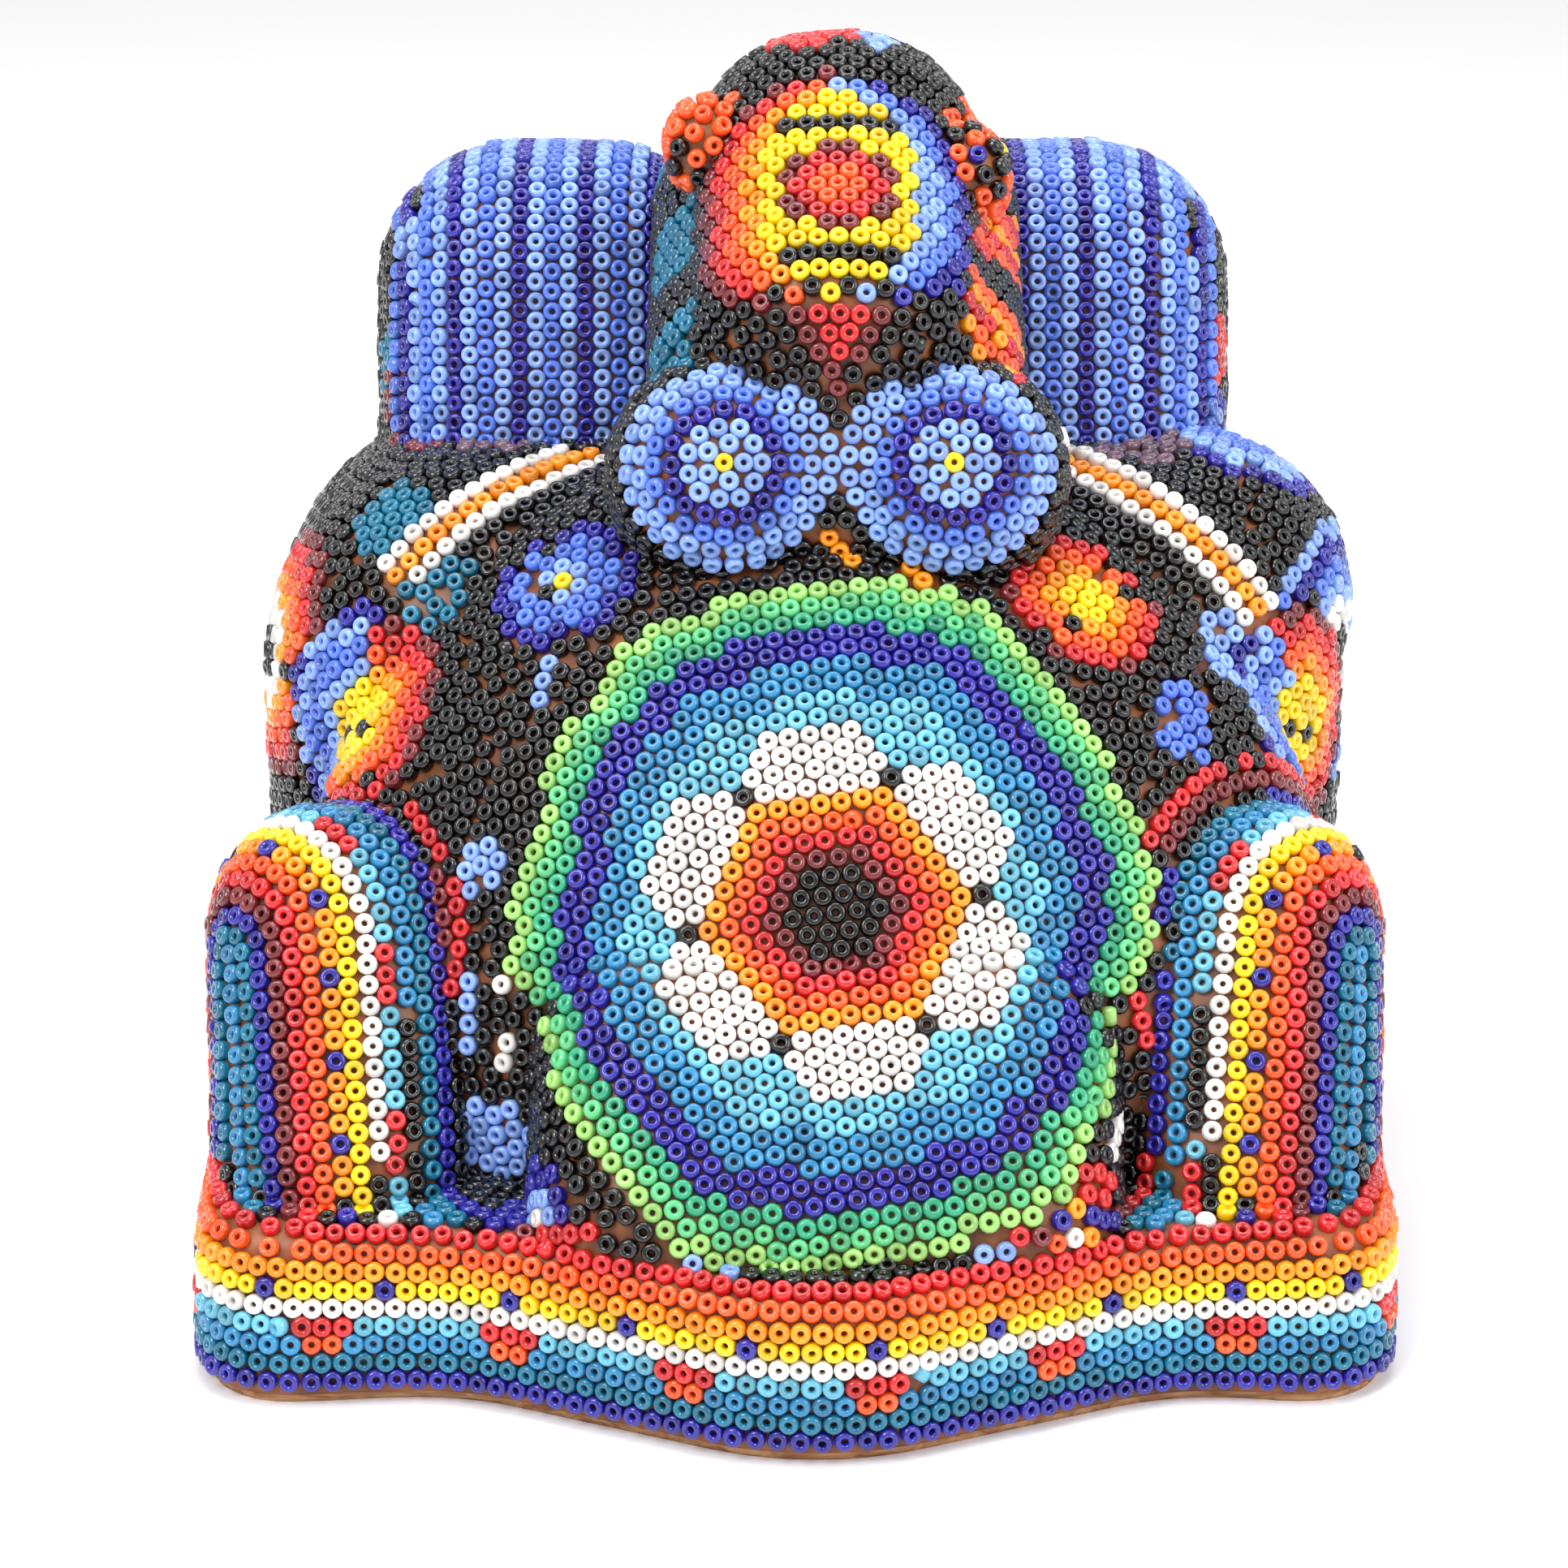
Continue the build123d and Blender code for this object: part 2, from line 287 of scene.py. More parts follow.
class Panel:
    """A flat sheet of beads pressed on the body; distances are measured along the wax."""

    def __init__(self, centre, axes, reach=16, lift=30):
        self.centre, (self.right, self.up, self.out) = np.array(centre), axes
        self.lift, self.radii = lift, np.arange(0, reach + 3, 1.0)
        self.tables = [self.measured(turn) for turn in np.radians(np.arange(0, 361, 6))]

    def drop(self, u, v):
        return cast(self.centre + self.right * u + self.up * v + self.out * self.lift, -self.out)

    def measured(self, turn):
        """The length along the wax at each flat distance from the centre."""
        hits = [self.drop(r * math.cos(turn), r * math.sin(turn)) for r in self.radii]
        points = [hit[0] if hit else None for hit in hits]
        lengths = [0.0]
        for a, b in zip(points, points[1:]):
            lengths.append(lengths[-1] + (1.0 if a is None or b is None
                                          else float(np.linalg.norm(b - a))))
        return lengths

    def at(self, u, v):
        length, turn = math.hypot(u, v), math.degrees(math.atan2(v, u)) % 360 / 6
        first = min(int(turn), 59)
        flat = [np.interp(length, self.tables[k], self.radii) for k in (first, first + 1)]
        flat = flat[0] + (flat[1] - flat[0]) * (turn - first)
        return self.drop(u * flat / length, v * flat / length) if length else self.drop(0, 0)


class Sleeve:
    """A sheet of beads wrapped round a limb: s runs round it, t along its axis."""

    def __init__(self, centre, along, front, side, middle_t=0.0, span=150):
        self.centre, self.along = np.array(centre), np.array(along)
        self.front, self.side = np.array(front), np.array(side)
        turns = np.radians(np.arange(-span, span + 1, 2))
        hits = [self.ray(turn, middle_t) for turn in turns]
        known = [(turn, hit[0]) for turn, hit in zip(turns, hits) if hit]
        steps = [0.0] + [float(np.linalg.norm(b[1] - a[1])) for a, b in zip(known, known[1:])]
        self.turns = np.array([k[0] for k in known])
        self.lengths = np.cumsum(steps)
        self.lengths -= np.interp(0, self.turns, self.lengths)

    def ray(self, turn, t):
        direction = self.front * math.cos(turn) + self.side * math.sin(turn)
        return cast(self.centre + self.along * t, direction)

    def at(self, s, t):
        return self.ray(float(np.interp(s, self.lengths, self.turns)), t)


class Cap:
    """A sheet of beads over a rounded end: s runs out from a pole, turn goes round it."""

    def __init__(self, centre, pole, across, up, span=130):
        self.centre, self.pole = np.array(centre), np.array(pole)
        self.across, self.up, self.span = np.array(across), np.array(up), span
        self.tables = {}

    def ray(self, turn, angle):
        side = self.across * math.cos(turn) + self.up * math.sin(turn)
        return cast(self.centre, self.pole * math.cos(angle) + side * math.sin(angle))

    def at(self, s, turn):
        if turn not in self.tables:
            angles = np.radians(np.arange(0, self.span, 3))
            points = np.array([self.ray(turn, a)[0] for a in angles])
            steps = np.linalg.norm(np.diff(points, axis=0), axis=1)
            self.tables[turn] = angles, np.concatenate(([0], np.cumsum(steps)))
        angles, lengths = self.tables[turn]
        return self.ray(turn, float(np.interp(s, lengths, angles)))


# ------------------------------------------------------------------ ways of laying beads


def string(path, colour_of, field, phase=0.0, closed=False, gap=0.86):
    """Beads threaded along a path of (point, normal) samples, one pitch apart."""
    path = [place for place in path if place is not None]
    if len(path) < 2:
        return
    points = np.array([p[0] for p in path])
    normals = np.array([p[1] for p in path])
    length = np.concatenate(([0], np.cumsum(np.linalg.norm(np.diff(points, axis=0), axis=1))))
    pitch = length[-1] / max(1, round(length[-1] / PITCH)) if closed else PITCH
    stations = np.arange(phase * pitch, length[-1] - (0.5 * pitch if closed else 0), pitch)
    for number, station in enumerate(stations):
        p = np.array([np.interp(station, length, points[:, k]) for k in range(3)])
        n = np.array([np.interp(station, length, normals[:, k]) for k in range(3)])
        colour = colour_of(number, station) if callable(colour_of) else colour_of
        work.lay((settle(p)[0], n / np.linalg.norm(n)), colour, field, gap)


def lattice(chart, reach, colour_of, field, turn=0.0, gap=0.86, start=(0.0, 0.0)):
    """A close lattice of beads on a chart; colour_of(u, v, ring) returns None outside it."""
    c, s = math.cos(math.radians(turn)), math.sin(math.radians(turn))
    count = int(reach / ROW) + 2
    spots = []
    for j in range(-count, count + 1):
        for i in range(-count, count + 1):
            x, y = (i + 0.5 * j) * PITCH, j * ROW
            ring = max(abs(i), abs(j), abs(i + j))
            spots.append((math.hypot(x, y), x, y, ring))
    for distance, x, y, ring in sorted(spots):
        u, v = c * x - s * y, s * x + c * y
        colour = colour_of(u, v, ring) if distance <= reach else None
        if colour:
            work.lay(chart.at(start[0] + u, start[1] + v), colour, field, gap)


def rings(chart, colours, field, spread=1.0):
    """A rosette: a centre bead and closed rings round it."""
    work.lay(chart.at(0, 0), colours[0], field)
    for number, colour in enumerate(colours[1:], 1):
        radius = number * ROW * spread
        turns = np.linspace(0, 2 * math.pi, 90)
        path = [chart.at(radius * math.cos(t), radius * math.sin(t)) for t in turns]
        string(path, colour, field, closed=True, gap=0.8)


# ------------------------------------------------------------------ the rows of the base


def base_colour(row, number):
    nine = number % 9
    if row == 2 and nine in (6, 7):
        return "orange"
    if row == 3:
        return "red" if nine in (5, 6, 7) else "cyan"
    if row == 5 and number % 6 == 2:
        return "navy"
    return ("navy", "teal", "sea_blue", "cyan", "white", "yellow", "amber", "orange", "red")[row]


def base_rows():
    """Nine rows round the foot, each nesting in the one below."""
    turns = np.linspace(0, 2 * math.pi, 721)[:-1]
    loop = [cast((0, 0, FOOT_Z), (math.cos(t), math.sin(t), 0)) for t in turns]
    points = np.array([p[0] for p in loop + loop[:1]])
    length = np.concatenate(([0], np.cumsum(np.linalg.norm(np.diff(points, axis=0), axis=1))))
    count = round(length[-1] / PITCH)
    stations = np.arange(count) * length[-1] / count
    row = np.stack([np.interp(stations, length, points[:, k]) for k in range(3)], axis=1)
    for level in range(9):
        places = [settle(p) for p in row]
        for number, place in enumerate(places):
            work.lay(place, base_colour(level, number), f"base_row_{level}", 0.8)
        spots, outs = (np.array([p[k] for p in places]) for k in range(2))
        spots = 0.5 * spots + 0.25 * (np.roll(spots, 1, axis=0) + np.roll(spots, -1, axis=0))
        ahead = np.roll(spots, -1, axis=0)
        step = ahead - spots
        width = np.linalg.norm(step, axis=1, keepdims=True)
        up = np.cross(outs + np.roll(outs, -1, axis=0), step)
        up *= np.sign(up[:, 2:3]) / np.linalg.norm(up, axis=1, keepdims=True)
        rise = np.sqrt(np.maximum(PITCH ** 2 - width ** 2 / 4, (0.8 * PITCH) ** 2))
        row = (spots + ahead) / 2 + up * rise
        for _ in range(3):
            row = np.array([settle(p)[0] for p in row])
            for near in (spots, ahead):
                gap = row - near
                length = np.linalg.norm(gap, axis=1, keepdims=True)
                row += 0.5 * gap * (PITCH / length - 1)


base_rows()

# ------------------------------------------------------------------ the mandala
face = lean_frame(FACE_LEAN)
mandala_at = middle("mandala_black")
mandala = Panel(mandala_at, face, reach=42)
LATTICE_TURN = 8
OUTER_RINGS = ((11, "cyan"), (13, "sea_blue"), (15, "navy"), (16, "sea_green"), (17, "leaf"),
               (18, "lime"))
INNER_RINGS = ("black", "black", "black", "maroon", "red", "orange", "amber")


def petal(u, v, ring):
    """White petals stand on the flats of the hexagon, black beads at its corners."""
    turn = (math.degrees(math.atan2(v, u)) - LATTICE_TURN) % 60
    along = math.hypot(u, v) * math.sin(math.radians(turn - 30))
    half_width = {7: 6.4, 8: 7.6, 9: 6.5, 10: 5.4}[ring]
    if abs(along) < half_width:
        return "white"
    return "black" if ring == 7 else "cyan"


def mandala_colour(u, v, ring):
    if ring < len(INNER_RINGS):
        return INNER_RINGS[ring]
    if ring <= 10:
        return petal(u, v, ring)
    rounder = math.hypot(u / 0.93, v / 1.12) / ROW
    rank = round(0.45 * ring + 0.55 * rounder)
    for last, colour in OUTER_RINGS:
        if rank <= last:
            return colour
    return None


lattice(mandala, 40, mandala_colour, "mandala", turn=LATTICE_TURN)

# ------------------------------------------------------------------ the muzzle rosettes
rosette_low, rosette_high = box_mm("rosette_centre_beads")
ROSETTE = ("yellow", "sky", "sky", "navy", "blue", "sky", "sky")
for x in (rosette_low.x + PITCH / 2, rosette_high.x - PITCH / 2):
    centre = (x, rosette_low.y + 1.0, (rosette_low.z + rosette_high.z) / 2)
    rings(Panel(centre, lean_frame(17), reach=12), ROSETTE, "rosette")

# ------------------------------------------------------------------ the forelegs
ARCHES = ("sea_blue", "teal", "navy", "maroon", "red", "orange", "amber", "yellow", "white",
          "cyan", "sea_blue", "teal", "navy", "maroon", "red")
ARCH_SPRING = 9.0               # where the arches start to turn, up the leg from its middle
POLE_TURN = 27.0                # the arches nest round the outer corner of the leg


def arch_colour(number, colour, side):
    """Dots and dashes along one arch."""
    def choose(bead, station):
        if colour == "amber" and bead % 4 == 1:
            return "navy"
        if colour == "cyan" and (bead + side) % 8 in (3, 4, 5):
            return "red"
        return colour
    return choose


for side in (-1, 1):
    low, high = box_mm("foreleg_inner")
    leg_x = high.x - 12 if side > 0 else low.x + 12
    right, up, out = lean_frame(LEG_LEAN, -side * LEG_ROLL)
    pole = math.radians(POLE_TURN)
    corner = out * math.cos(pole) + side * right * math.sin(pole)
    inward = out * math.sin(pole) - side * right * math.cos(pole)
    leg_at = np.array((leg_x, -20.0, 23.5))
    sleeve = Sleeve(leg_at, up, corner, inward, middle_t=ARCH_SPRING)
    cap = Cap(leg_at + up * ARCH_SPRING, corner, inward, up)
    for number, colour in enumerate(ARCHES):
        radius = (number + 0.4) * ROW
        climb = np.arange(-30, ARCH_SPRING, 0.5)
        path = [sleeve.at(radius, t) for t in climb]
        path += [cap.at(radius, turn) for turn in np.linspace(0, math.pi, 61)]
        path += [sleeve.at(-radius, t) for t in climb[::-1]]
        path = [p for p in path if p is not None and p[0][2] > FOOT_Z + 8 * ROW * 0.93]
        string(path, arch_colour(number, colour, side), "foreleg", phase=0.5 * (number % 2))

# ------------------------------------------------------------------ the head
sun_at = middle("bridge_sun")
slope = math.radians(HEAD_SLOPE)
head_along = np.array((0, math.cos(slope), math.sin(slope)))
head_out = np.array((0, -math.sin(slope), math.cos(slope)))
head = Sleeve(np.array(sun_at) - head_out * 11 - head_along * 3.6, head_along, head_out,
              (1, 0, 0), span=100)


def head_colour(s, t):
    """Small sun on a yellow oval, warm crescents on the left, blue ones on the right."""
    sun = math.hypot(s, t)
    for limit, colour in ((2.3, "orange"), (4.4, "red"), (6.0, "maroon")):
        if sun < limit:
            return colour
    if abs(s) < 5.6 and abs(abs(t) - 5 * ROW) < 0.5 * ROW:
        return "black"
    narrowing = (abs(t) / 13.2) ** 4 * 6.0
    edge = abs(s) + narrowing
    if edge < 8.3:
        return "yellow"
    warm = ((10.0, "amber"), (12.2, "orange"), (14.8, "red"), (17.0, "maroon"))
    cold = ((11.0, "sky"), (13.2, "blue"), (15.6, "navy"))
    for limit, colour in (warm if s < 0 else cold):
        if edge < limit:
            return colour
    return "black" if t > 0 and edge < 21 else None


lattice(head, 30, lambda u, v, ring: head_colour(u, v) if abs(u) < 18 and -13.4 < v < 19
        else None, "head")

nose = Panel(middle("nose_triangle"), lean_frame(42))


def nose_colour(u, v, ring):
    """A red triangle that points down, its lower edges maroon."""
    if v > 5.2 or v < -8.5:
        return None
    half_width = 5.8 - 0.62 * (3.4 - v) if v < 3.4 else 5.8 - 0.9 * (v - 3.4)
    if abs(u) < half_width - 1.0:
        return "red"
    return "maroon" if abs(u) < half_width + 1.2 else None


lattice(nose, 9.5, nose_colour, "nose", start=(0, 0.6))

# ------------------------------------------------------------------ the haunch lobes
lobe_low = box_mm("haunch_blue_columns")[0]
STRIPES = ("navy", "sky", "blue", "sky")


def haunch_columns():
    """Upright columns that run over the top of each lobe and down its back."""
    axis_y, axis_z = 43.0, lobe_low.z + 6
    for side in (-1, 1):
        row = [cast((sun_at.x + side * (20.6 + step), 14, lobe_low.z + 20), (0, 1, 0))
               for step in np.arange(0, 40, 0.25)]
        row = [p for p in row if p is not None and abs(p[1][0]) < 0.95]
        points = np.array([p[0] for p in row])
        lengths = np.concatenate(([0], np.cumsum(np.linalg.norm(np.diff(points, axis=0), axis=1))))
        for number in range(int(lengths[-1] / ROW) + 1):
            x = float(np.interp(number * ROW, lengths, points[:, 0]))
            turns = np.radians(np.arange(-25, 215, 1.0))
            path = [cast((x, axis_y, axis_z), (0, -math.cos(t), math.sin(t))) for t in turns]
            path = [p for p in path if p is not None and p[0][2] > lobe_low.z - 2
                    and (p[0][0] - sun_at.x) * side > 18]
            string(path, STRIPES[number % 4], "haunch", phase=0.5 * (number % 2), gap=0.8)


haunch_columns()

# ------------------------------------------------------------------ suns and flowers


def target(bands):
    """Colours by distance from the middle: ((limit, colour), ...)."""
    def choose(u, v, ring):
        distance = math.hypot(u, v)
        for limit, colour in bands:
            if distance < limit:
                return colour
        return None
    return choose


flower = Panel(middle("flower_centre_bead"), lean_frame(30))
lattice(flower, 8.6, target(((0.5, "yellow"), (2.6, "sky"), (4.8, "blue"), (6.4, "blue"),
                             (8.4, "navy"))), "flower", turn=30, start=(0, 2.4))
chest_sun = Panel(middle("sun_amber"), lean_frame(30))
lattice(chest_sun, 9.4, target(((2.4, "yellow"), (4.5, "amber"), (6.6, "orange"),
                                (8.0, "red"), (9.2, "maroon"))), "sun")


def outward_panel(place, out):
    """A panel at a place on the body, its own up as near to vertical as can be."""
    out = np.array(out) / np.linalg.norm(out)
    across = np.cross((0, 0, 1.0), out)
    across /= np.linalg.norm(across)
    return Panel(place, (across, np.cross(out, across), out))


WARM = ((4.6, "yellow"), (7.0, "amber"), (9.0, "orange"), (11.2, "red"), (12.8, "maroon"))
COLD = ((4.6, "yellow"), (6.8, "sky"), (9.4, "blue"), (11.6, "sky"), (13.0, "navy"))
suns_low, suns_high = box_mm("chest_side_suns")
eye_low, eye_high = box_mm("flank_eyes_red")
for side in (-1, 1):
    spot = ((suns_low.x + 11.0, suns_low.y + 21, suns_low.z + 3.0) if side < 0 else
            (suns_high.x - 0.5, suns_low.y + 26, suns_low.z + 2.5))

    def side_sun(u, v, ring):
        if abs(v + 1.0) < 0.9 and abs(u) < 2.4:
            return "black"
        return target(WARM if u > -2 else COLD)(u, v, ring)

    lattice(outward_panel(spot, (side * 0.75, -0.55, 0.42)), 13, side_sun, "side_sun",
            turn=10 * side)

    bands = (((2.3, "black"), (6.4, "white"), (8.6, "amber"), (10.6, "orange"), (12.8, "red"),
              (14.8, "maroon")) if side < 0 else
             ((2.3, "black"), (6.4, "white"), (8.6, "sky"), (10.6, "blue"), (12.8, "navy"),
              (14.8, "sky")))
    eye = (eye_high.x if side > 0 else eye_low.x, (eye_low.y + eye_high.y) / 2,
           (eye_low.z + eye_high.z) / 2)
    lattice(outward_panel(eye, (side, 0, 0)), 15, target(bands), "flank_eye", turn=15)

# A wide sun on the back, between the haunches and the base.
back = Panel((0, cad_high.y - 4, cad_high.z * 0.44), (np.array((-1, 0, 0.0)),
             np.array((0, 0, 1.0)), np.array((0, 1, 0.0))), reach=30)
BACK_SUN = ((2.6, "yellow"), (6.4, "amber"), (8.3, "orange"), (10.2, "red"), (12.0, "maroon"),
            (15.8, "white"), (17.6, "cyan"), (19.5, "sea_blue"), (23.2, "navy"),
            (25.1, "leaf"), (27.0, "lime"))
lattice(back, 28, target(BACK_SUN), "back_sun")

# ------------------------------------------------------------------ the collar
collar_at = np.array(mandala_at) - np.array((1.8, 0, 0))
for number, colour in enumerate(("white", "amber", "white")):
    radius = 57.5 + number * ROW
    for first, last in ((24, 64), (114, 140)):
        turns = np.radians(np.arange(first, last, 0.7))
        path = []
        for t in turns:
            place = cast(collar_at + face[2] * 10 + radius * (
                face[0] * math.cos(t) + face[1] * math.sin(t)), -face[2])
            path.append(place)
        string(path, colour, "collar", phase=0.5 * (number % 2))

chest = Panel(mandala_at, face, reach=60)


def short_string(start, end, colour):
    steps = np.linspace(0, 1, 24)[:, None]
    line = np.array(start) * (1 - steps) + np.array(end) * steps
    string([chest.drop(u, v) for u, v in line], colour, "chest_lines", phase=0.2)


for start, end, colour in (((-1.8, 42.4), (2.4, 37.2), "amber"), ((4.4, 42.0), (9.8, 35.2), "amber"),
                           ((-28.6, 31.2), (-30.4, 22.6), "sky"), ((-37.4, -1.5), (-37.4, -13), "sky"),
                           ((-33.6, -4.2), (-34.0, -7.2), "white"), ((-33.2, -12), (-33.8, -15.2), "white"),
                           ((28.4, -20), (27.0, -25), "white"), ((40.6, 12.8), (41.6, 16.0), "blue")):
    short_string(start, end, colour)

# ------------------------------------------------------------------ filling the ground


def ground_colour(p, n):
    """Black, with the small motifs between the big fields."""
    for x, y, z, bands in MOTIFS:
        distance = math.dist(p, (x, y, z))
        for radius, colour in bands:
            if distance < radius:
                return colour
    beside = abs(p[0] - sun_at.x)
    if 13 < beside < 19 and p[2] > 84 and p[1] < 34 and abs(n[0]) > 0.5:
        along = (p[1] * head_along[1] + p[2] * head_along[2]) % 16
        if p[0] < sun_at.x:
            return "teal" if along < 9 and beside > 14.6 else "black"
        return ("red", "orange", "amber")[int(along) % 3] if along < 12 else "black"
    return "black"


# Middle of each small motif in millimetres, and its colours by distance from the middle.
MOTIFS = (
    (-38.5, -0.5, 70.0, ((4.6, "teal"),)), (-44.5, 8.0, 75.5, ((5.2, "teal"),)),
    (-32.7, 21.5, 80.5, ((5.0, "mauve"),)), (38.5, 19.5, 80.0, ((5.0, "mauve"),)),
    (40.5, -14.0, 59.0, ((4.4, "blue"),)), (47.0, -2.5, 63.5, ((4.6, "sky"),)),
    (-33.0, -26.5, 47.5, ((2.9, "sky"),)), (-30.3, -35.8, 21.5, ((4.6, "sky"),)),
    (-24.6, -48.6, 18.0, ((1.6, "white"), (3.4, "sky"), (6.4, "navy"))),
    (-8.9, -57.5, 17.8, ((3.8, "sky"),)), (18.8, -57.0, 19.6, ((2.6, "sky"),)),
    (27.6, -53.6, 20.0, ((1.6, "white"), (2.9, "amber"), (4.8, "orange"), (6.8, "red"))),
    (52.0, 5.0, 70.0, ((1.2, "lime"),)), (54.0, 5.0, 65.5, ((1.6, "blue"),)),
    (50.0, 24.0, 79.0, ((4.0, "blue"), (8.0, "sky"), (10.0, "navy"))),
    (-42.0, 26.5, 84.0, ((1.8, "yellow"), (3.6, "orange"), (5.4, "red"), (7.0, "maroon"))),
    (-47.0, 31.0, 86.0, ((5.0, "teal"),)), (47.5, 33.0, 88.0, ((4.5, "red"),)),
    (-10.5, 17.0, 115.0, ((6.4, "orange"),)), (19.5, 18.0, 112.0, ((2.6, "yellow"), (6.4, "orange"))),
    (1.5, 27.0, 126.0, ((5.6, "red"),)), (9.5, 25.0, 125.0, ((3.0, "sky"),)),
)


def fill(gap, reach=PITCH):
    """Grows the beadwork outward, each new bead resting against two already laid."""
    queue = deque(range(len(work.points)))
    while queue:
        b = queue.popleft()
        here, out = work.points[b], work.normals[b]
        for c in work.near(here, 1.75 * PITCH):
            step = work.points[c] - here
            step = step - out * np.dot(step, out)
            width = float(np.linalg.norm(step))
            if c == b or width < 0.5 * PITCH:
                continue
            step /= width
            rise = math.sqrt(max(reach ** 2 - width ** 2 / 4, 0.3))
            across = np.cross(out, step)
            for sign in (-1, 1):
                place = settle(here + step * width / 2 + across * sign * rise)
                if place[0][2] < FOOT_Z - 0.3:
                    continue
                added = work.lay(place, ground_colour(*place), "ground", gap)
                if added is not None:
                    queue.append(added)


def relax(rounds):
    """Lets beads that press on each other slide apart on the wax."""
    for _ in range(rounds):
        tree = KDTree(len(work.points))
        for n, p in enumerate(work.points):
            tree.insert(Vector(p), n)
        tree.balance()
        moved = []
        for n, p in enumerate(work.points):
            push = np.zeros(3)
            for q, m, distance in tree.find_range(Vector(p), 0.985 * PITCH):
                if m != n and distance > 1e-6:
                    push += (p - np.array(q)) / distance * (0.985 * PITCH - distance)
            free = 0.45 if work.fields[n] == "ground" else 0.22
            moved.append(p if not push.any() else settle(p + free * push)[0])
        work.points = moved
    work.normals = [settle(p)[1] for p in work.points]
    work.cells = {}
    for n, p in enumerate(work.points):
        work.cells.setdefault(work.cell(p), []).append(n)


fill(0.90)
relax(4)
fill(0.82)
fill(0.80, 0.9 * PITCH)
relax(8)
fill(0.82, 0.93 * PITCH)
relax(6)

# ------------------------------------------------------------------ bead shape
SEGMENTS, PROFILE = 14, 8


def bead_template():
    """A short glass tube with round ends: points of one bead, its hole along Z."""
    middle_r, half_wall = (BEAD_R + HOLE_R) / 2, (BEAD_R - HOLE_R) / 2
    points, faces = [], []
    for i in range(SEGMENTS):
        turn = 2 * math.pi * i / SEGMENTS
        for j in range(PROFILE):
            a = 2 * math.pi * (j + 0.5) / PROFILE
            r = middle_r + half_wall * math.copysign(abs(math.cos(a)) ** 0.8, math.cos(a))
            z = BEAD_LEN / 2 * math.copysign(abs(math.sin(a)) ** 0.9, math.sin(a))
            points.append((r * math.cos(turn), r * math.sin(turn), z))
    for i in range(SEGMENTS):
        for j in range(PROFILE):
            k, l = (i + 1) % SEGMENTS, (j + 1) % PROFILE
            faces.append((i * PROFILE + j, k * PROFILE + j, k * PROFILE + l, i * PROFILE + l))
    return np.array(points), np.array(faces)


TEMPLATE, TEMPLATE_FACES = bead_template()


def bead_mesh(name, numbers):
    """One mesh holding the beads with these numbers."""
    count = len(numbers)
    points = np.array([work.points[n] for n in numbers])
    normals = np.array([work.normals[n] for n in numbers])
    draw = np.array([JITTER[n] for n in numbers])
    normals = normals + 0.055 * draw[:, 0:3]
    tipped = draw[:, 6] > 2.45
    normals[tipped] += 0.45 * draw[tipped, 0:3]
    normals /= np.linalg.norm(normals, axis=1, keepdims=True)
    helper = np.where(np.abs(normals[:, 2:3]) < 0.9, [[0, 0, 1.0]], [[1.0, 0, 0]])
    x = np.cross(helper, normals)
    x /= np.linalg.norm(x, axis=1, keepdims=True)
    y = np.cross(normals, x)
    wide = 1 + 0.022 * draw[:, 3]
    tall = 1 + 0.07 * draw[:, 4]
    lift = BEAD_LEN * tall / 2 - SINK + 0.05 * draw[:, 5]
    centres = points + normals * lift[:, None]
    t = TEMPLATE[None, :, :] * np.stack([wide, wide, tall], axis=1)[:, None, :]
    vertices = (centres[:, None, :] + t[..., 0:1] * x[:, None, :] + t[..., 1:2] * y[:, None, :]
                + t[..., 2:3] * normals[:, None, :])
    vertices = vertices.reshape(-1, 3) * MM
    faces = (TEMPLATE_FACES[None] + (np.arange(count) * len(TEMPLATE))[:, None, None])
    faces = faces.reshape(-1)
    mesh = bpy.data.meshes.new(name)
    mesh.vertices.add(len(vertices))
    mesh.vertices.foreach_set("co", vertices.astype(np.float32).ravel())
    mesh.loops.add(len(faces))
    mesh.loops.foreach_set("vertex_index", faces.astype(np.int32))
    total = len(faces) // 4
    mesh.polygons.add(total)
    mesh.polygons.foreach_set("loop_start", np.arange(0, total * 4, 4, dtype=np.int32))
    mesh.polygons.foreach_set("use_smooth", np.ones(total, bool))
    mesh.update(calc_edges=True)
    mesh.validate()
    return mesh


JITTER = np.clip(rng.standard_normal((len(work.points), 7)), -2.6, 2.6)

# ------------------------------------------------------------------ materials


def material(name):
    mat = bpy.data.materials.new(name)
    mat.use_nodes = True
    nodes = mat.node_tree.nodes
    return mat, nodes, mat.node_tree.links, nodes["Principled BSDF"]


